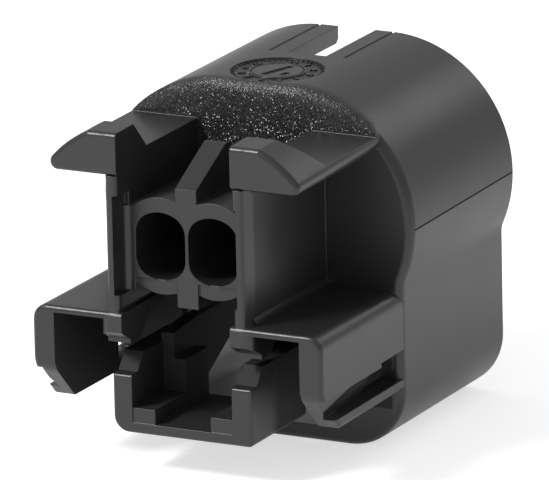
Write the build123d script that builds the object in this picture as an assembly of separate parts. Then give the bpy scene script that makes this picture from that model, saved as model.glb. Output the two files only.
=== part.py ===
from build123d import *
import os

os.makedirs("parts", exist_ok=True)

# Two-way sealed sensor plug: a moulded housing, its interface seal and its terminal lock.
# All sizes are in mm. X runs across, Y from the wire side to the mating side, Z up.
# The model is drawn about the terminals' axis with Y = 0 at the wire-side brackets, and
# is set down on its flat bottom at the end.

# Terminals
pitch = 5.0
seal_bore = 5.95
seal_bore_flats = 4.7
bore_corner = 1.8
tube_wall = 1.3
seal_bore_depth = 11.5
cavity_width = 3.0
cavity_height = 3.4
blade_slot_width = 1.8
blade_slot_height = 3.0

# Sleeve: an oval tube over a box that houses the latch lever
sleeve_radius = 11.42
sleeve_arc_offset = 3.44
sleeve_wall = 1.5
sleeve_front = 15.3
sleeve_length = 20.0
front_wall = 1.6
front_edge_round = 0.75
mouth_chamfer = 0.4
box_inset = 1.16
box_depth = 19.95
box_corner = 5.3
waist_round = 2.0

# Keyway and mould marks on top of the sleeve
key_slot_width = 3.65
key_slot_length = 9.7
key_band_width = 1.6
key_line_width = 0.3
key_line_depth = 0.12
dial_diameter = 8.2
dial_depth = 0.18
dial_setback = 4.65

# Terminal block between the two webs on the wire side
block_setback = 2.4
block_corner_round = 0.6
web_setback = 0.15
web_inner = 5.4
web_outer = 6.65
web_front_taper = 0.15
web_taper_length = 1.7
web_inner_round = 0.5
web_outer_round = 0.35
web_relief = 0.45
web_relief_top = 4.6
web_relief_bottom = -4.1
block_face_bottom = -2.95
block_lower_setback = 0.2
rib_width = 2.0
rib_front_height = 5.2
rib_top_height = 8.0
rib_slope_end = 8.0
rib_top_length = 1.0
rib_top_round = 0.6
tab_bottom = -5.2
tab_length = 4.0

# Ears: plates flush with the sleeve that end in raised finger caps
ear_underside = 6.35
ear_plate_top = 7.75
ear_cap_top = 10.4
ear_cap_length = 3.3
ear_cap_slope_end = 5.8
ear_edge_round = 0.45
ear_draft = 0.3
ear_tip_round = 1.0
ear_root_round = 0.6

# Side brackets that guard the latch lever
bracket_flare = 0.05
bracket_draft = 0.1
bracket_wall = 2.1
bracket_top = -5.6
bracket_plate = 0.58
bracket_edge_round = 0.4
bracket_bottom = -14.45
bracket_corner = 1.4
bracket_chamfer = 3.4
bracket_chamfer_round = 2.0
bracket_plate_inner = 5.15
groove_top = -11.3
groove_bottom = -13.5
groove_depth = 0.72
window_front = 11.4
window_rear = 15.75
window_top = -10.9
guide_start = 0.6
guide_front_rise = 0.8
guide_rise = 2.5
guide_tilt = 25
hook_width = 2.15
hook_length = 4.85
hook_front_height = 1.15
hook_height = 2.45
hook_lead = 1.6
hook_heel = 1.5
hook_round = 0.9

# Latch lever, moulded with the housing and hung on two torsion webs
lever_front = 0.85
lever_half_width = 6.6
lever_wall = 1.83
lever_top = -11.2
lever_bottom = -16.33
lever_floor = 0.95
lever_corner_left = 1.4
lever_corner_right = 0.4
lever_edge_round = 0.3
ledge_setback = 0.12
ledge_inner = 2.65
ledge_top = -14.1
lever_pocket_end = 6.8
lever_floor_end = 11.0
rise_start = 2.0
rise_length = 1.2
rise_top = -9.7
arm_inner = 3.75
arm_outer = 5.0
arm_top = -8.6
arm_front_drop = 0.4
arm_end = 31.0
catch_bar_length = 2.2
torsion_web_length = 1.6
torsion_web_height = 1.5
lever_gap = 0.7

# Terminal tower inside the sleeve, with the seal and the lock that ride on it
tower_end_setback = 5.5
lock_wall = 0.9
lock_face = 1.2
lock_seal_gap = 0.8
lock_clearance = 0.05
seal_thickness = 2.2
seal_length = 5.0
seal_lip_height = 0.35

# Places worked out from the sizes above
sleeve_end = sleeve_front + sleeve_length
wall_back = sleeve_front + front_wall
tube_radius = seal_bore / 2 + tube_wall
tower_end = sleeve_end - tower_end_setback
bore_end = block_setback + seal_bore_depth
lock_start = wall_back + seal_length + lock_seal_gap
box_half_width = sleeve_arc_offset + sleeve_radius - box_inset
bracket_half_width = box_half_width + bracket_flare
bracket_inner = bracket_half_width - bracket_wall
bracket_end = sleeve_front + front_edge_round + 0.5
plate_bottom = bracket_top - bracket_plate
overlap = 0.5


def profile(sketch, start, end):
    """Extrude a sketch drawn in X and Z from one Y to another."""
    plane = Plane(origin=(0, start, 0), x_dir=(1, 0, 0), z_dir=(0, -1, 0))
    return extrude(plane * sketch, amount=end - start, dir=(0, 1, 0))


def side_profile(points, inner, outer):
    """Extrude an outline drawn in Y and Z from one X to another."""
    outline = make_face(Plane.YZ * Polyline(*points, close=True))
    return Pos(inner, 0, 0) * extrude(outline, amount=outer - inner, dir=(1, 0, 0))


def corner_round(radius, x_sign, y_sign):
    """Section that rounds an inner corner at the origin towards the signs' quarter."""
    square = Pos(x_sign * radius / 2, y_sign * radius / 2) * Rectangle(radius, radius)
    return square - Pos(x_sign * radius, y_sign * radius) * Circle(radius)


def block(x_from, x_to, y_from, y_to, z_from, z_to):
    """Box between two opposite corners."""
    size = (x_to - x_from, y_to - y_from, z_to - z_from)
    return Pos(x_from, y_from, z_from) * Box(*size, align=Align.MIN)


def both_sides(solid):
    """The solid of the +X side together with its mirror image."""
    return solid + mirror(solid, about=Plane.YZ)


def oval(half_spacing, radius):
    return SlotCenterToCenter(2 * half_spacing, 2 * radius)


def sleeve_outline(inset):
    """Oval joined to its lower box by rounded waists, all drawn in by the inset."""
    box = Rectangle(
        2 * (box_half_width - inset), box_depth - inset, align=(Align.CENTER, Align.MAX)
    )
    box = fillet(box.vertices().group_by(Axis.Y)[0], box_corner - inset)
    section = oval(sleeve_arc_offset, sleeve_radius - inset) + box
    waists = section.vertices().group_by(Axis.Y)[-2]
    return fillet(waists, waist_round + inset)


def sleeve():
    tube = profile(sleeve_outline(0), sleeve_front, sleeve_end)
    tube = fillet(tube.faces().sort_by(Axis.Y)[0].edges(), front_edge_round)
    tube -= profile(sleeve_outline(sleeve_wall), wall_back, sleeve_end)
    mouth = tube.faces().sort_by(Axis.Y)[-1]
    tube = chamfer(mouth.inner_wires()[0].edges(), mouth_chamfer)

    # The lever passes through the lower part of the front wall
    half_opening = lever_half_width + lever_gap
    tube -= block(
        -half_opening, half_opening, sleeve_front - overlap, wall_back + overlap,
        -box_depth + sleeve_wall, arm_top + 1.0,
    )
    return tube


def key_slot():
    """Keyway through the top of the sleeve, with a shallow line along each side."""
    start = sleeve_end - key_slot_length
    cut = block(
        -key_slot_width / 2, key_slot_width / 2, start, sleeve_end + overlap,
        sleeve_radius - 2 * sleeve_wall, sleeve_radius + overlap,
    )
    line_inner = key_slot_width / 2 + key_band_width
    line = block(
        line_inner, line_inner + key_line_width, start, sleeve_end + overlap,
        sleeve_radius - key_line_depth, sleeve_radius + overlap,
    )
    return cut + both_sides(line)


def dial_recess():
    place = Pos(0, sleeve_front + dial_setback, sleeve_radius)
    return place * Cylinder(dial_diameter / 2, 2 * dial_depth)


def terminal_block():
    """Two tubes joined by a flat face, with a rib above and a tab below."""
    tubes = Sketch() + [Pos(x, 0) * Circle(tube_radius) for x in (-pitch / 2, pitch / 2)]
    web_reach = web_inner + web_relief
    tubes &= Rectangle(2 * web_reach, 4 * tube_radius)
    fill = Pos(0, block_face_bottom) * Rectangle(
        2 * web_reach, 2 * tube_radius - tube_wall, align=(Align.CENTER, Align.MIN)
    )
    upper = tubes + fill - Pos(0, tube_radius * 0.78) * Rectangle(
        2 * web_reach, tube_radius, align=(Align.CENTER, Align.MIN)
    )
    body = profile(upper + tubes, block_setback, wall_back)
    body -= block(
        -web_reach, web_reach, block_setback - overlap, block_setback + block_lower_setback,
        -tube_radius - overlap, block_face_bottom,
    )
    strip_inner = web_inner - web_relief
    body += both_sides(
        block(
            strip_inner, web_reach, block_setback, wall_back, web_relief_bottom, block_face_bottom
        )
    )
    rib_end = rib_slope_end + rib_top_length
    rib = side_profile(
        [
            (block_setback, 0),
            (block_setback, rib_front_height),
            (rib_slope_end, rib_top_height),
            (rib_end, rib_top_height),
            (rib_end, 0),
        ],
        -rib_width / 2, rib_width / 2,
    )
    crest = rib.edges().filter_by(Axis.X).group_by(Axis.Z)[-1]
    rib = fillet(crest, rib_top_round)
    tab = block(
        -rib_width / 2, rib_width / 2, block_setback, block_setback + tab_length, tab_bottom, 0
    )
    return body + rib + tab


def tower():
    """Tube pair inside the sleeve that carries the terminals."""
    return profile(oval(pitch / 2, tube_radius), wall_back - overlap, tower_end)


def terminal_cavities():
    """Flatted wire-seal bores that lead to square terminal cavities."""
    bore = Circle(seal_bore / 2) & Rectangle(seal_bore_flats, seal_bore)
    bore = fillet(bore.vertices(), bore_corner)
    cavity = Rectangle(cavity_width, cavity_height)
    cuts = Part()
    for x in (-pitch / 2, pitch / 2):
        cuts += profile(Pos(x, 0) * bore, block_setback - overlap, bore_end)
        cuts += profile(Pos(x, 0) * cavity, bore_end - overlap, tower_end + overlap)
    return cuts


def web():
    """Upright plate beside the tubes, with rounded roots to the ear and the bracket."""
    plan = Polyline(
        (web_inner, web_setback),
        (web_outer - web_front_taper, web_setback),
        (web_outer, web_setback + web_taper_length),
        (web_outer, sleeve_front + overlap),
        (web_inner, sleeve_front + overlap),
        close=True,
    )
    height = ear_underside - plate_bottom
    plate = Pos(0, 0, plate_bottom) * extrude(make_face(plan), amount=height, dir=(0, 0, 1))
    front_edges = plate.edges().filter_by(Axis.Z).group_by(Axis.Y)[0].sort_by(Axis.X)
    plate = fillet(front_edges[0], web_inner_round)
    front_edges = plate.edges().filter_by(Axis.Z).group_by(Axis.Y)[0].sort_by(Axis.X)
    plate = fillet(front_edges[-1], web_outer_round)
    relief = block(
        web_inner - overlap, web_inner + web_relief, -overlap, block_setback,
        web_relief_bottom, web_relief_top,
    )
    plate -= relief
    radius = ear_root_round
    root = Pos(web_outer, ear_underside) * corner_round(radius, 1, -1)
    foot = Pos(web_outer, bracket_top) * corner_round(radius, 1, 1)
    roots = profile(root + foot, web_taper_length, sleeve_front + overlap)
    inner = Pos(web_inner + web_relief, block_setback) * corner_round(block_corner_round, -1, -1)
    face_height = tube_radius * 0.78 - web_relief_bottom
    inner_root = Pos(0, 0, web_relief_bottom) * extrude(inner, amount=face_height, dir=(0, 0, 1))
    return plate + roots + inner_root


def ear_section(inset):
    """Part of the sleeve's oval above the ear's underside, drawn in by the inset."""
    height = ear_cap_top - ear_underside - inset
    band = Pos(web_inner, ear_underside) * Rectangle(
        sleeve_radius, height, align=(Align.MIN, Align.MIN)
    )
    section = oval(sleeve_arc_offset, sleeve_radius - inset) & band
    return fillet(section.vertices().sort_by(Axis.X)[-1], ear_tip_round - inset)


def ear():
    """Plate flush with the sleeve, with a raised finger cap at the wire side."""
    front = Plane(origin=(0, web_setback, 0), x_dir=(1, 0, 0), z_dir=(0, -1, 0))
    rear = Plane(
        origin=(0, sleeve_front + front_edge_round, 0), x_dir=(1, 0, 0), z_dir=(0, -1, 0)
    )
    solid = loft([front * ear_section(ear_draft), rear * ear_section(0)], ruled=True)
    reach = sleeve_arc_offset + sleeve_radius
    behind_cap = side_profile(
        [
            (ear_cap_length, ear_cap_top + overlap),
            (ear_cap_length, ear_cap_top),
            (ear_cap_slope_end, ear_plate_top),
            (sleeve_front, ear_plate_top),
            (sleeve_front, ear_cap_top + overlap),
        ],
        web_inner - overlap, reach,
    )
    solid -= behind_cap
    front_face = solid.faces().sort_by(Axis.Y)[0]
    rim = front_face.edges().filter_by(lambda edge: edge.center().Z > ear_underside + 0.1)
    rim = rim.filter_by(lambda edge: edge.center().X > web_inner + 0.1)
    return fillet(rim, ear_edge_round)


def bracket_section(half_width):
    """Plate and outer wall of the bracket at one Y."""
    inner = half_width - bracket_wall
    outline = Polyline(
        (bracket_plate_inner, bracket_top),
        (half_width, bracket_top),
        (half_width, bracket_bottom),
        (inner, bracket_bottom),
        (inner, plate_bottom),
        (bracket_plate_inner, plate_bottom),
        close=True,
    )
    section = make_face(outline)
    outer = section.vertices().group_by(Axis.X)[-1].sort_by(Axis.Y)
    section = fillet(outer[-1], bracket_corner)
    outer = section.vertices().group_by(Axis.X)[-1].sort_by(Axis.Y)
    return fillet(outer[0], bracket_edge_round)


def bracket():
    """Channel open towards the bottom, with a grooved and windowed outer wall."""
    half_width = bracket_half_width
    outside = half_width + overlap
    front = Plane(origin=(0, 0, 0), x_dir=(1, 0, 0), z_dir=(0, -1, 0))
    rear = Plane(origin=(0, bracket_end, 0), x_dir=(1, 0, 0), z_dir=(0, -1, 0))
    solid = loft(
        [front * bracket_section(half_width), rear * bracket_section(half_width - bracket_draft)],
        ruled=True,
    )
    solid -= side_profile(
        [
            (-overlap, bracket_bottom + bracket_chamfer + overlap),
            (bracket_chamfer + overlap, bracket_bottom - overlap),
            (-overlap, bracket_bottom - overlap),
        ],
        bracket_inner - overlap, outside,
    )
    nose = solid.edges().filter_by(Axis.X).group_by(Axis.Y)[0].sort_by(Axis.Z)[0]
    solid = fillet(nose, bracket_chamfer_round)
    front_edges = solid.faces().sort_by(Axis.Y)[0].edges().sort_by(Axis.Z)
    solid = fillet(front_edges[-1], bracket_edge_round)

    # Outer groove, and the sloping guide that runs down it into the window
    floor = half_width - groove_depth
    groove = block(floor, outside, -overlap, window_rear, groove_bottom, groove_top)
    window = block(
        bracket_inner - overlap, outside, window_front, window_rear, groove_bottom, window_top
    )
    guide_front = groove_bottom + guide_front_rise
    guide_top = groove_bottom + guide_rise
    guide = side_profile(
        [
            (guide_start, guide_front),
            (window_front, guide_top),
            (window_rear, guide_top),
            (window_rear, groove_bottom - guide_rise),
            (guide_start, groove_bottom - guide_rise),
        ],
        floor, outside,
    )
    rise = guide_top - guide_front
    slope = Axis((floor, guide_start, guide_front), (0, window_front - guide_start, rise))
    guide = guide.rotate(slope, guide_tilt)
    guide &= block(0, outside + box_depth, 0, window_rear, groove_bottom, guide_top)
    return solid - groove - window - guide


def hook():
    """Stop for the lever under the bracket's plate, with a sloped front and a rounded heel."""
    top = plate_bottom + bracket_plate / 2
    bottom = plate_bottom - hook_height
    solid = side_profile(
        [
            (0, top),
            (0, plate_bottom - hook_front_height),
            (hook_lead, bottom + 0.4),
            (hook_lead, bottom),
            (hook_length - hook_heel, bottom),
            (hook_length, bottom + hook_heel),
            (hook_length, top),
        ],
        bracket_plate_inner, bracket_plate_inner + hook_width,
    )
    heel = solid.edges().filter_by(Axis.X).filter_by(
        lambda edge: edge.center().Y > hook_lead + 0.1 and edge.center().Z < plate_bottom
    )
    solid = fillet(heel, hook_round)
    uprights = solid.edges().filter_by(Axis.Z).group_by(Axis.Y)[0]
    return fillet(uprights.sort_by(Axis.X)[-1], hook_round)


def lever():
    """Press pad, pocketed channel, arms and catch bar of the integral latch."""
    half = lever_half_width
    shell = Pos(0, lever_bottom) * Rectangle(
        2 * half, lever_top - lever_bottom, align=(Align.CENTER, Align.MIN)
    )
    shell = fillet(shell.vertices().group_by(Axis.Y)[0].sort_by(Axis.X)[0], lever_corner_left)
    shell = fillet(
        shell.vertices().group_by(Axis.Y)[0].sort_by(Axis.X)[-1], lever_corner_right
    )
    pocket = Pos(0, ledge_top) * Rectangle(
        2 * (half - lever_wall), box_depth, align=(Align.CENTER, Align.MIN)
    )
    trough = Pos(0, lever_bottom + lever_floor) * Rectangle(
        2 * ledge_inner, box_depth, align=(Align.CENTER, Align.MIN)
    )
    solid = profile(shell, lever_front, lever_floor_end)
    solid = fillet(solid.faces().sort_by(Axis.Y)[0].edges(), lever_edge_round)
    rise = side_profile(
        [
            (rise_start, lever_top - overlap),
            (rise_start, lever_top),
            (rise_start + rise_length, rise_top),
            (lever_floor_end, rise_top),
            (lever_floor_end, lever_top - overlap),
        ],
        half - lever_wall, half,
    )
    solid += both_sides(rise)
    solid -= profile(pocket, lever_front - overlap, lever_pocket_end)
    solid -= profile(trough, lever_front - overlap, lever_floor_end + overlap)
    solid -= block(
        lever_wall - half, half - lever_wall, lever_front - overlap, lever_front + ledge_setback,
        lever_bottom + lever_floor, ledge_top + overlap,
    )

    # Arms rise from the channel and run through the front wall to the catch bar
    arm = side_profile(
        [
            (lever_pocket_end, lever_top - 1.0),
            (lever_pocket_end, arm_top - arm_front_drop),
            (lever_floor_end, arm_top),
            (arm_end, arm_top),
            (arm_end, arm_top - 2.0),
            (wall_back, lever_top - 1.0),
            (lever_floor_end, lever_bottom + lever_floor),
            (lever_floor_end - 1.0, lever_bottom + lever_floor),
        ],
        arm_inner, arm_outer,
    )
    solid += both_sides(arm)
    solid += block(
        -arm_outer, arm_outer, arm_end - catch_bar_length, arm_end, arm_top - 2.0, arm_top
    )
    torsion_web = block(
        arm_outer - 0.2, box_half_width - sleeve_wall + 0.3,
        wall_back + lever_gap, wall_back + lever_gap + torsion_web_length,
        arm_top - torsion_web_height, arm_top,
    )
    return solid + both_sides(torsion_web)


def housing():
    solid = sleeve() + terminal_block() + tower()
    solid += both_sides(web() + ear() + bracket() + hook())
    solid += lever()
    return solid - terminal_cavities() - key_slot() - dial_recess()


def interface_seal():
    """Ring seal stretched over the tower's root, with two lips outside."""
    start = wall_back
    ring = profile(oval(pitch / 2, tube_radius + seal_thickness), start, start + seal_length)
    lip_outline = oval(pitch / 2, tube_radius + seal_thickness + seal_lip_height)
    for share in (0.25, 0.65):
        lip_start = start + share * seal_length
        ring += profile(lip_outline, lip_start, lip_start + seal_length / 6)
    return ring - profile(oval(pitch / 2, tube_radius), start - overlap, sleeve_end)


def terminal_lock():
    """Cap over the tower's end, shown pushed home against the tower's face."""
    inner = tube_radius + lock_clearance
    cap = profile(oval(pitch / 2, inner + lock_wall), lock_start, tower_end + lock_face)
    cap -= profile(oval(pitch / 2, inner), lock_start - overlap, tower_end)
    mouth = cap.faces().sort_by(Axis.Y)[-1]
    cap = chamfer(mouth.edges(), 0.4)
    blade = Rectangle(blade_slot_width, blade_slot_height)
    for x in (-pitch / 2, pitch / 2):
        cap -= profile(Pos(x, 0) * blade, tower_end - overlap, tower_end + lock_face + overlap)
    return cap


# The flat bottom goes to Z = 0 and the middle of the length to Y = 0
place = Pos(0, -sleeve_end / 2, box_depth)
parts = {
    "housing": housing(),
    "interface_seal": interface_seal(),
    "terminal_lock": terminal_lock(),
}
for name, solid in parts.items():
    export_step(place * solid, f"parts/{name}.step")
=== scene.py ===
# Sealed two-way sensor plug: finishes, date dial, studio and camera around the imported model
import math

import bpy
from mathutils import Matrix, Vector


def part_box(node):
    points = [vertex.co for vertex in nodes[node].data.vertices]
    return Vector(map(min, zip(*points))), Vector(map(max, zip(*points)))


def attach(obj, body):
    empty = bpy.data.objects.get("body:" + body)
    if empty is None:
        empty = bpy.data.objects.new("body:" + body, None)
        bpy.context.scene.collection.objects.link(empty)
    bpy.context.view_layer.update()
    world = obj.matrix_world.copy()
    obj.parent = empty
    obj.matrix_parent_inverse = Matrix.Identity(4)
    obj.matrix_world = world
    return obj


mm = 0.001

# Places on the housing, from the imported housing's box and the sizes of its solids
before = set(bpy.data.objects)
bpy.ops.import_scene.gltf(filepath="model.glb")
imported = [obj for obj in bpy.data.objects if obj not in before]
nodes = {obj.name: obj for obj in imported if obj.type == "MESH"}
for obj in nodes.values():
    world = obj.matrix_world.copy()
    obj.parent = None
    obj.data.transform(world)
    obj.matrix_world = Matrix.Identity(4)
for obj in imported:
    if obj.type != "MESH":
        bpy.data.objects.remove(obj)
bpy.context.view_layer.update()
housingLow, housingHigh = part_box("housing")
wireFront = housingLow.y
sleeveEnd = housingHigh.y
sleeveTop = housingHigh.z
sleeveLength = 20.0 * mm
sleeveFront = sleeveEnd - sleeveLength
axisHeight = 19.95 * mm  # of the terminals
recessRadius = 4.1 * mm
recessDepth = 0.18 * mm
dialCentre = Vector((0, sleeveFront + 4.65 * mm, sleeveTop - recessDepth))


# Hex colour as the linear values that a shader takes.
def srgb(code):
    parts = [int(code[i : i + 2], 16) / 255 for i in (1, 3, 5)]
    linear = [v / 12.92 if v <= 0.04045 else ((v + 0.055) / 1.055) ** 2.4 for v in parts]
    return (*linear, 1.0)


# Add a node, set its properties, then set or link its inputs by name or number.
def addNode(tree, kind, values=None, **settings):
    node = tree.nodes.new(kind)
    for name, value in settings.items():
        setattr(node, name, value)
    for name, value in (values or {}).items():
        if isinstance(value, bpy.types.NodeSocket):
            tree.links.new(value, node.inputs[name])
        else:
            node.inputs[name].default_value = value
    return node


# Mask of one or more regions. A region is a list of masks and of limits with soft edges,
# (value, low, high, softness), where None leaves a side open.
def maskOf(tree, *regions):
    total = None
    for region in regions:
        parts = []
        for limit in region:
            if isinstance(limit, bpy.types.NodeSocket):
                parts.append(limit)
                continue
            value, low, high, softness = limit
            for edge, below, above in ((low, 0.0, 1.0), (high, 1.0, 0.0)):
                if edge is not None:
                    ramp = addNode(
                        tree, "ShaderNodeMapRange",
                        {"Value": value, "To Min": below, "To Max": above,
                         "From Min": edge - softness / 2, "From Max": edge + softness / 2},
                    )
                    parts.append(ramp.outputs[0])
        inside = parts[0]
        for part in parts[1:]:
            inside = addNode(
                tree, "ShaderNodeMath", {0: inside, 1: part}, operation="MULTIPLY"
            ).outputs[0]
        if total is None:
            total = inside
        else:
            total = addNode(
                tree, "ShaderNodeMath", {0: total, 1: inside}, operation="MAXIMUM"
            ).outputs[0]
    return total


def newMaterial(name):
    material = bpy.data.materials.new(name)
    material.use_nodes = True
    tree = material.node_tree
    tree.nodes.clear()
    shader = addNode(tree, "ShaderNodeBsdfPrincipled")
    addNode(tree, "ShaderNodeOutputMaterial", {"Surface": shader.outputs[0]})
    return material, tree, shader


def assign(obj, material):
    obj.data.materials.clear()
    obj.data.materials.append(material)


housingLook = {
    "colour": "#242425",
    "cloudColour": "#2C2C2D",  # faint clouds where the melt cooled unevenly
    "cloudSize": 6.0 * mm,
    "cloudShare": 0.35,
    "lowerColour": "#2A2A2B",  # below the parting line
    "seamColour": "#050505",
    "paintedShadeColour": "#121213",  # painted shade on the deep faces round the lever
    "roughness": 0.34,
    "cloudRoughness": 0.08,  # change from cloud to cloud
    "sparkRoughness": 0.27,
    "seamRoughness": 0.6,  # added to the rest, as the next
    "mattRoughness": 0.4,
    "ior": 1.55,
    "edgeRound": 0.13 * mm,
    "crestRound": 1.7 * mm,  # added along the front wall's upper edge
    "grainSize": 0.12 * mm,  # near 0.02 mm on the real one, drawn coarser so that it shows
    "grainDepth": 0.006 * mm,
    "sparkSize": 0.066 * mm,  # near 0.03 mm on the real one, drawn coarser so that it shows
    "sparkTilt": 0.88,
    "crestFade": 0.3,  # how much shallower the spark marks are on the upper edge
    "sideFade": 0.2,  # and towards the sleeve's sides
    "partingFall": 0.22 * mm,  # from the sleeve's rear to its front
    "partingHalf": 0.08 * mm,
    "draft": 0.13,  # slope shaded above the parting line
}


# Black polyester filled with glass fibre, moulded in a spark-eroded tool. The eye gets a dark
# grey satin skin with a faint grain, which sparkles where the tool was eroded more deeply.
def mouldedPolyester():
    look = housingLook
    material, tree, shader = newMaterial("blackGlassFilledPolyester")
    place = addNode(tree, "ShaderNodeTexCoord").outputs["Object"]
    x, y, z = addNode(tree, "ShaderNodeSeparateXYZ", {0: place}).outputs
    side = addNode(tree, "ShaderNodeMath", {0: x}, operation="ABSOLUTE").outputs[0]
    reach = addNode(
        tree, "ShaderNodeVectorMath", {0: place, 1: tuple(dialCentre)}, operation="DISTANCE"
    ).outputs["Value"]

    # Coarse skin: the front wall between the webs and over the ears, and the dial's floor
    wallDepth = (y, sleeveFront - 0.3 * mm, sleeveFront + 0.7 * mm, 0.3 * mm)
    overBlock = (z, axisHeight + 3.0 * mm, None, 0.4 * mm)
    betweenWebs = (side, None, 5.6 * mm, 0.1 * mm)
    overEars = (z, axisHeight + 7.9 * mm, None, 0.1 * mm)
    recessEdge = recessRadius - 0.02 * mm
    inRecess = (reach, None, recessEdge, 0.04 * mm)
    onRecessFloor = (z, None, dialCentre.z + 0.05 * mm, 0.02 * mm)
    coarse = maskOf(
        tree, [wallDepth, overBlock, betweenWebs], [wallDepth, overEars], [inRecess, onRecessFloor]
    )

    # The front wall's upper edge, where the rounding is larger
    edgeDepth = (y, sleeveFront - 0.2 * mm, sleeveFront + 3.2 * mm, 0.6 * mm)
    highOnWall = (z, axisHeight + 8.3 * mm, None, 0.6 * mm)
    besideDial = (reach, recessEdge, None, 0.04 * mm)
    crest = maskOf(tree, [edgeDepth, highOnWall, besideDial])

    # Matt skin of deep cores, with shade painted into their colour: the lever's chamber, faces
    # turned to the middle, the space behind the brackets and the rises of the lever's arms
    faceNormal = addNode(tree, "ShaderNodeNewGeometry").outputs["Normal"]
    across = addNode(tree, "ShaderNodeSeparateXYZ", {0: faceNormal}).outputs["X"]
    ownSide = addNode(tree, "ShaderNodeMath", {0: x}, operation="SIGN").outputs[0]
    outward = addNode(
        tree, "ShaderNodeMath", {0: across, 1: ownSide}, operation="MULTIPLY"
    ).outputs[0]
    beforeWall = (y, None, sleeveFront + 1.0 * mm, 0.1 * mm)
    chamber = [(side, None, 4.6 * mm, 0.1 * mm), (y, wireFront + 1.2 * mm, None, 0.3 * mm)]
    turnedInward = [(outward, None, -0.7, 0.1), beforeWall]
    behindBrackets = [
        (side, None, 12.72 * mm, 0.02 * mm),
        (y, wireFront + 5.3 * mm, None, 1.5 * mm),
        (z, None, axisHeight - 6.22 * mm, 0.05 * mm),
        beforeWall,
    ]
    armRises = [
        (side, 3.0 * mm, 6.75 * mm, 0.05 * mm),
        (y, wireFront + 1.6 * mm, wireFront + 4.4 * mm, 0.1 * mm),
        (z, axisHeight - 11.18 * mm, axisHeight - 9.2 * mm, 0.05 * mm),
    ]
    deep = maskOf(tree, chamber, turnedInward, behindBrackets, armRises)
    leverHeight = (z, axisHeight - 16.2 * mm, axisHeight - 5.3 * mm, 0.2 * mm)
    # painted shade: these deep faces are darkened in colour, as well as made matt
    mattAndPaintedShade = maskOf(tree, [deep, leverHeight])

    # Height over the parting line, which falls a little towards the sleeve's front
    fall = look["partingFall"] / sleeveLength
    level = addNode(
        tree, "ShaderNodeVectorMath", {0: place, 1: (0, -fall, 1)}, operation="DOT_PRODUCT"
    ).outputs["Value"]
    height = addNode(
        tree, "ShaderNodeMath", {0: level, 1: sleeveEnd * fall - axisHeight}, operation="ADD"
    ).outputs[0]
    onSleeve = maskOf(
        tree, [(y, sleeveFront + 0.6 * mm, None, 0.1 * mm), (side, 11.5 * mm, None, 0.1 * mm)]
    )
    lower = maskOf(tree, [(height, None, 0.0, 0.05 * mm), onSleeve])
    half = look["partingHalf"]
    seam = maskOf(tree, [(height, -half, half, 0.06 * mm), onSleeve])
    justAbove = (height, 0.0, None, 0.05 * mm)
    fadingUp = (height, None, 2.5 * mm, 5.0 * mm)
    drafted = maskOf(tree, [justAbove, fadingUp, onSleeve])

    # Colour
    clouds = addNode(
        tree, "ShaderNodeTexNoise",
        {"Vector": place, "Scale": 1 / look["cloudSize"], "Detail": 3.0},
    ).outputs["Fac"]
    cloudy = addNode(
        tree, "ShaderNodeMath", {0: clouds, 1: look["cloudShare"]}, operation="MULTIPLY"
    ).outputs[0]
    colour = srgb(look["colour"])
    for share, code in (
        (cloudy, look["cloudColour"]),
        (lower, look["lowerColour"]),
        (seam, look["seamColour"]),
        # painted shade on the deep faces round the lever
        (mattAndPaintedShade, look["paintedShadeColour"]),
    ):
        colour = addNode(
            tree, "ShaderNodeMix", {0: share, "A": colour, "B": srgb(code)}, data_type="RGBA"
        ).outputs[2]
    tree.links.new(colour, shader.inputs["Base Color"])

    # Edges broken by the tool, and a fine grain all over
    rounding = addNode(
        tree, "ShaderNodeMath", {0: crest, 1: look["crestRound"], 2: look["edgeRound"]},
        operation="MULTIPLY_ADD",
    ).outputs[0]
    edges = addNode(tree, "ShaderNodeBevel", {"Radius": rounding}, samples=8).outputs[0]
    grain = addNode(
        tree, "ShaderNodeTexNoise",
        {"Vector": place, "Scale": 1 / look["grainSize"], "Detail": 2.0},
    ).outputs["Fac"]
    skin = addNode(
        tree, "ShaderNodeBump",
        {"Strength": 1.0, "Distance": look["grainDepth"], "Height": grain, "Normal": edges},
    ).outputs[0]

    # Each spark mark has its own slope, mostly slight and now and then steep
    marks = addNode(
        tree, "ShaderNodeTexVoronoi", {"Vector": place, "Scale": 1 / look["sparkSize"]}
    ).outputs["Color"]
    slope = addNode(
        tree, "ShaderNodeVectorMath", {0: marks, 1: (2, 2, 2), 2: (-1, -1, -1)},
        operation="MULTIPLY_ADD",
    ).outputs[0]
    steepness = slope
    for repeat in range(2):
        steepness = addNode(
            tree, "ShaderNodeVectorMath", {0: steepness, 1: slope}, operation="MULTIPLY"
        ).outputs[0]
    depth = addNode(
        tree, "ShaderNodeMath", {0: coarse, 1: look["sparkTilt"]}, operation="MULTIPLY"
    ).outputs[0]
    atSides = maskOf(tree, [(side, 6.5 * mm, None, 3.0 * mm)])
    for share, fade in ((crest, look["crestFade"]), (atSides, look["sideFade"])):
        kept = addNode(
            tree, "ShaderNodeMath", {0: share, 1: -fade, 2: 1.0}, operation="MULTIPLY_ADD"
        ).outputs[0]
        depth = addNode(
            tree, "ShaderNodeMath", {0: depth, 1: kept}, operation="MULTIPLY"
        ).outputs[0]
    tilt = addNode(
        tree, "ShaderNodeVectorMath", {0: steepness, "Scale": depth}, operation="SCALE"
    ).outputs[0]
    raised = addNode(
        tree, "ShaderNodeMath", {0: drafted, 1: look["draft"]}, operation="MULTIPLY"
    ).outputs[0]
    lift = addNode(tree, "ShaderNodeCombineXYZ", {"Z": raised}).outputs[0]
    for shift in (tilt, lift):
        skin = addNode(
            tree, "ShaderNodeVectorMath", {0: skin, 1: shift}, operation="ADD"
        ).outputs[0]
    upright = addNode(tree, "ShaderNodeVectorMath", {0: skin}, operation="NORMALIZE").outputs[0]
    tree.links.new(upright, shader.inputs["Normal"])

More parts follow.
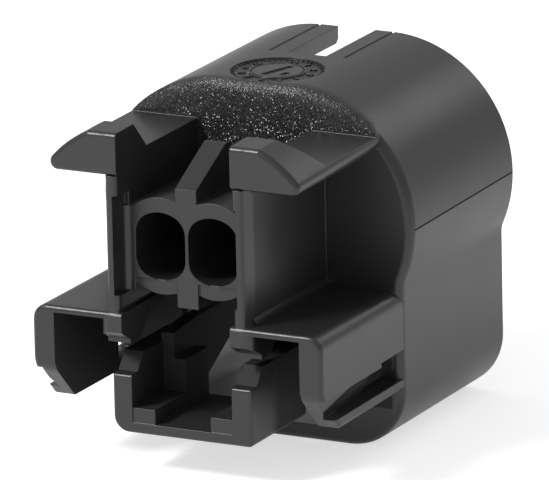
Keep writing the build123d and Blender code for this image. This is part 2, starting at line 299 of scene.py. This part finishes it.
    # Gloss
    roughness = look["roughness"] - look["cloudRoughness"] / 2
    for share, amount in (
        (clouds, look["cloudRoughness"]),
        (coarse, look["sparkRoughness"] - look["roughness"]),
        (seam, look["seamRoughness"]),
        (mattAndPaintedShade, look["mattRoughness"]),
    ):
        roughness = addNode(
            tree, "ShaderNodeMath", {0: share, 1: amount, 2: roughness}, operation="MULTIPLY_ADD"
        ).outputs[0]
    tree.links.new(roughness, shader.inputs["Roughness"])
    shader.inputs["IOR"].default_value = look["ior"]
    return material


sealLook = {
    "colour": "#A8481F",
    "bloomColour": "#8A3414",
    "bloomSize": 1.5 * mm,
    "bloomShare": 0.4,
    "roughness": 0.28,
    "bloomRoughness": 0.2,
    "scatter": 0.1,
    "scatterDepth": 1.0 * mm,
}


# Self-lubricating silicone rubber, moulded: a soft red-brown, its gloss broken by the thin
# bloom of oil that it sweats.
def siliconeRubber():
    look = sealLook
    material, tree, shader = newMaterial("mouldedSiliconeRubber")
    place = addNode(tree, "ShaderNodeTexCoord").outputs["Object"]
    bloom = addNode(
        tree, "ShaderNodeTexNoise",
        {"Vector": place, "Scale": 1 / look["bloomSize"], "Detail": 4.0},
    ).outputs["Fac"]
    bloomed = addNode(
        tree, "ShaderNodeMath", {0: bloom, 1: look["bloomShare"]}, operation="MULTIPLY"
    ).outputs[0]
    colour = addNode(
        tree, "ShaderNodeMix",
        {0: bloomed, "A": srgb(look["colour"]), "B": srgb(look["bloomColour"])},
        data_type="RGBA",
    ).outputs[2]
    tree.links.new(colour, shader.inputs["Base Color"])
    roughness = addNode(
        tree, "ShaderNodeMath", {0: bloom, 1: look["bloomRoughness"], 2: look["roughness"]},
        operation="MULTIPLY_ADD",
    ).outputs[0]
    tree.links.new(roughness, shader.inputs["Roughness"])
    shader.inputs["Subsurface Weight"].default_value = look["scatter"]
    shader.inputs["Subsurface Scale"].default_value = look["scatterDepth"]
    return material


lockLook = {
    "colour": "#8C8E8F",
    "speckColour": "#7A7C7D",
    "speckShare": 0.3,
    "roughness": 0.5,
    "grainSize": 0.12 * mm,  # near 0.02 mm on the real one, drawn coarser so that it shows
    "grainDepth": 0.005 * mm,
    "grainStrength": 0.5,
}


# Natural grey polyester, moulded in a plain tool: even, half matt and hardly grained.
def plainPolyester():
    look = lockLook
    material, tree, shader = newMaterial("mouldedGreyPolyester")
    place = addNode(tree, "ShaderNodeTexCoord").outputs["Object"]
    grain = addNode(
        tree, "ShaderNodeTexNoise",
        {"Vector": place, "Scale": 1 / look["grainSize"], "Detail": 2.0},
    ).outputs["Fac"]
    specks = addNode(
        tree, "ShaderNodeMath", {0: grain, 1: look["speckShare"]}, operation="MULTIPLY"
    ).outputs[0]
    colour = addNode(
        tree, "ShaderNodeMix",
        {0: specks, "A": srgb(look["colour"]), "B": srgb(look["speckColour"])},
        data_type="RGBA",
    ).outputs[2]
    tree.links.new(colour, shader.inputs["Base Color"])
    skin = addNode(
        tree, "ShaderNodeBump",
        {"Strength": look["grainStrength"], "Distance": look["grainDepth"], "Height": grain},
    ).outputs[0]
    tree.links.new(skin, shader.inputs["Normal"])
    shader.inputs["Roughness"].default_value = look["roughness"]
    return material


floorLook = {
    "colour": "#E4E4E4",
    "roughness": 0.9,
    "cameraGlow": 0.62,
    "mirrorGlow": 0.42,
    "half": 2.5,
    "drop": 0.01 * mm,  # under the plug, so that the two faces don't lie in one plane
}


# Matt white laminate, pressed, with no gloss of its own. It takes the plug's shadow, and looks
# a little lighter to the camera and in reflections.
def whiteLaminate():
    look = floorLook
    material, tree, shader = newMaterial("mattWhiteLaminate")
    shader.inputs["Base Color"].default_value = srgb(look["colour"])
    shader.inputs["Roughness"].default_value = look["roughness"]
    shader.inputs["Specular IOR Level"].default_value = 0.0
    shader.inputs["Emission Color"].default_value = (1.0, 1.0, 1.0, 1.0)
    rays = addNode(tree, "ShaderNodeLightPath").outputs
    glow = 0.0
    for ray, strength in (
        ("Is Camera Ray", look["cameraGlow"]), ("Is Glossy Ray", look["mirrorGlow"])
    ):
        glow = addNode(
            tree, "ShaderNodeMath", {0: rays[ray], 1: strength, 2: glow}, operation="MULTIPLY_ADD"
        ).outputs[0]
    tree.links.new(glow, shader.inputs["Emission Strength"])
    return material


def buildFloor():
    half, height = floorLook["half"], housingLow.z - floorLook["drop"]
    mesh = bpy.data.meshes.new("floor")
    corners = [(-half, -half), (half, -half), (half, half), (-half, half)]
    mesh.from_pydata([(x, y, height) for x, y in corners], [], [(0, 1, 2, 3)])
    floor = bpy.data.objects.new("floor", mesh)
    bpy.context.collection.objects.link(floor)
    assign(floor, whiteLaminate())


# Softboxes: place and size in metres, and the radiance of the lit panel
studioLook = {
    "world": 0.52,
    "softboxes": {
        "keySoftbox": {"place": (-0.39, -0.49, 0.64), "size": (0.2, 0.2), "radiance": 45.0},
        "backSoftbox": {"place": (0.3, 0.9, 0.5), "size": (0.4, 0.25), "radiance": 1.2},
    },
}


# Area light whose panel has the wanted radiance, aimed at the plug.
def addSoftbox(name, look):
    light = bpy.data.lights.new(name, "AREA")
    light.shape = "RECTANGLE"
    light.size, light.size_y = look["size"]
    light.energy = look["radiance"] * math.pi * light.size * light.size_y
    softbox = bpy.data.objects.new(name, light)
    softbox.location = look["place"]
    aim = Vector((0, 0, axisHeight)) - Vector(look["place"])
    softbox.rotation_euler = aim.to_track_quat("-Z", "Y").to_euler()
    bpy.context.collection.objects.link(softbox)


def buildStudio():
    world = bpy.data.worlds.new("studio")
    world.use_nodes = True
    background = world.node_tree.nodes["Background"]
    background.inputs["Color"].default_value = (1.0, 1.0, 1.0, 1.0)
    background.inputs["Strength"].default_value = studioLook["world"]
    bpy.context.scene.world = world
    for name, look in studioLook["softboxes"].items():
        addSoftbox(name, look)


# The camera as fitted to the photograph's outline
cameraView = {
    "azimuth": 27.13,
    "elevation": 15.86,
    "roll": -1.22,
    "distance": 783.2 * mm,
    "target": (1.437 * mm, -1.766 * mm, 17.412 * mm),
    "lens": 599.6,
    "sensor": 36.0,
    "clipStart": 0.05,
}


def buildCamera():
    view = cameraView
    azimuth, elevation, roll = (math.radians(view[k]) for k in ("azimuth", "elevation", "roll"))
    level = Vector((math.cos(azimuth), math.sin(azimuth), 0))
    ahead = Vector((-math.sin(azimuth), math.cos(azimuth), 0))
    forward = ahead * math.cos(elevation) - Vector((0, 0, math.sin(elevation)))
    upright = level.cross(forward)
    right = level * math.cos(roll) + upright * math.sin(roll)
    up = upright * math.cos(roll) - level * math.sin(roll)
    turn = Matrix((right, up, -forward)).transposed()

    lens = bpy.data.cameras.new("camera")
    lens.lens = view["lens"]
    lens.sensor_width = view["sensor"]
    lens.clip_start = view["clipStart"]
    camera = bpy.data.objects.new("camera", lens)
    place = Vector(view["target"]) - forward * view["distance"]
    camera.matrix_world = Matrix.Translation(place) @ turn.to_4x4()
    bpy.context.collection.objects.link(camera)
    bpy.context.scene.camera = camera


dialLook = {
    "relief": 0.1 * mm,
    "numbers": 12,  # one for each month
    "numberRadius": 3.05 * mm,
    "numberSize": 1.0 * mm,
    "numberSteps": 3,
    "ticks": 48,
    "tickRadius": 3.85 * mm,
    "tickLength": 0.28 * mm,  # along the radius
    "tickWidth": 0.1 * mm,
    "tickHeight": 0.07 * mm,
    "rimOuter": 2.5 * mm,
    "rimInner": 2.36 * mm,
    "discRadius": 2.2 * mm,
    "pointerTurn": -17,
    # Slot and short bar cut into the disc, as shares of its radius
    "pointer": [
        [(-0.19, -0.8), (0.19, -0.8), (0.13, 0.82), (-0.13, 0.82)],
        [(0.44, -0.4), (0.7, -0.4), (0.7, 0.04), (0.44, 0.04)],
    ],
}


def linkObject(name, data):
    obj = bpy.data.objects.new(name, data)
    bpy.context.collection.objects.link(obj)
    return obj


# Turn a curve, a text or an object with modifiers into a plain mesh, with its place in the mesh.
def toMesh(obj):
    bpy.context.view_layer.update()
    depsgraph = bpy.context.evaluated_depsgraph_get()
    mesh = bpy.data.meshes.new_from_object(obj.evaluated_get(depsgraph))
    mesh.transform(obj.matrix_world)
    name = obj.name
    bpy.data.objects.remove(obj)
    return linkObject(name, mesh)


# Plate filled between closed outlines, so that an outline inside another is a hole.
def flatPlate(name, outlines):
    curve = bpy.data.curves.new(name, "CURVE")
    curve.dimensions = "2D"
    curve.fill_mode = "BOTH"
    curve.extrude = dialLook["relief"] / 2
    for outline in outlines:
        spline = curve.splines.new("POLY")
        spline.points.add(len(outline) - 1)
        for point, (x, y) in zip(spline.points, outline):
            point.co = (x, y, 0, 1)
        spline.use_cyclic_u = True
    return toMesh(linkObject(name, curve))


def ring(radius, count=72):
    turns = [2 * math.pi * i / count for i in range(count)]
    return [(radius * math.cos(t), radius * math.sin(t)) for t in turns]


# Outlines of the disc: its edge, and the pointer's slot and bar as holes.
def discOutlines():
    look = dialLook
    radius, turn = look["discRadius"], math.radians(look["pointerTurn"])
    cos, sin = radius * math.cos(turn), radius * math.sin(turn)
    holes = [[(x * cos - y * sin, x * sin + y * cos) for x, y in hole] for hole in look["pointer"]]
    return [ring(radius)] + holes


# Ring of raised ticks round the dial, made by Geometry Nodes.
def buildTicks(material):
    look = dialLook
    sizes = {
        "Tick Count": look["ticks"],
        "Ring Radius": look["tickRadius"],
        "Tick Length": look["tickLength"],
        "Tick Width": look["tickWidth"],
        "Tick Height": look["tickHeight"],
    }
    group = bpy.data.node_groups.new("dialTicks", "GeometryNodeTree")
    group.interface.new_socket("Geometry", in_out="OUTPUT", socket_type="NodeSocketGeometry")
    sockets = {}
    for name, value in sizes.items():
        kind = "NodeSocketInt" if isinstance(value, int) else "NodeSocketFloat"
        sockets[name] = group.interface.new_socket(name, in_out="INPUT", socket_type=kind)
    given = addNode(group, "NodeGroupInput").outputs
    circle = addNode(
        group, "GeometryNodeCurvePrimitiveCircle",
        {"Resolution": given["Tick Count"], "Radius": given["Ring Radius"]},
    )
    points = addNode(
        group, "GeometryNodeCurveToPoints",
        {"Curve": circle.outputs["Curve"], "Count": given["Tick Count"]}, mode="COUNT",
    )
    tickSize = addNode(
        group, "ShaderNodeCombineXYZ",
        {"X": given["Tick Length"], "Y": given["Tick Height"], "Z": given["Tick Width"]},
    ).outputs[0]  # Z lies along the ring
    tick = addNode(group, "GeometryNodeMeshCube", {"Size": tickSize})
    placed = addNode(
        group, "GeometryNodeInstanceOnPoints",
        {"Points": points.outputs["Points"], "Instance": tick.outputs["Mesh"],
         "Rotation": points.outputs["Rotation"]},
    )
    real = addNode(
        group, "GeometryNodeRealizeInstances", {"Geometry": placed.outputs["Instances"]}
    )
    painted = addNode(
        group, "GeometryNodeSetMaterial",
        {"Geometry": real.outputs["Geometry"], "Material": material},
    )
    addNode(group, "NodeGroupOutput", {"Geometry": painted.outputs["Geometry"]})

    ticks = linkObject("dialTicks", bpy.data.meshes.new("dialTicks"))
    modifier = ticks.modifiers.new("ticks", "NODES")
    modifier.node_group = group
    for name, value in sizes.items():
        modifier[sockets[name].identifier] = value
    return toMesh(ticks)


# Raised number on the dial, turned so that it stands on the middle.
def buildNumber(number):
    look = dialLook
    text = bpy.data.curves.new("number", "FONT")
    text.body = str(number)
    text.size = look["numberSize"]
    text.align_x = "CENTER"
    text.align_y = "CENTER"
    text.extrude = look["relief"] / 2
    text.resolution_u = look["numberSteps"]
    angle = -2 * math.pi * number / look["numbers"]
    radius = look["numberRadius"]
    piece = linkObject(f"dialMonth{number}", text)
    piece.rotation_euler.z = angle
    piece.location = (-radius * math.sin(angle), radius * math.cos(angle), 0)
    return toMesh(piece)


# Raised marks in the date recess: ticks, a disc with a pointer, its rim and the month numbers.
def buildDial(material):
    look = dialLook
    pieces = [
        buildTicks(material),
        flatPlate("dialDisc", discOutlines()),
        flatPlate("dialRim", [ring(look["rimOuter"]), ring(look["rimInner"])]),
    ]
    pieces += [buildNumber(number) for number in range(1, look["numbers"] + 1)]
    place = Matrix.Translation(dialCentre + Vector((0, 0, look["relief"] / 2)))
    for piece in pieces:
        piece.data.transform(place)
        assign(piece, material)
        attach(piece, "plug")


buildCamera()
buildFloor()
buildStudio()
bpy.context.scene.view_settings.view_transform = "Standard"
print("camera, floor and studio made")

polyester = mouldedPolyester()
assign(nodes["housing"], polyester)
assign(nodes["interface_seal"], siliconeRubber())
assign(nodes["terminal_lock"], plainPolyester())
print("materials made")

buildDial(polyester)
print("date dial made")
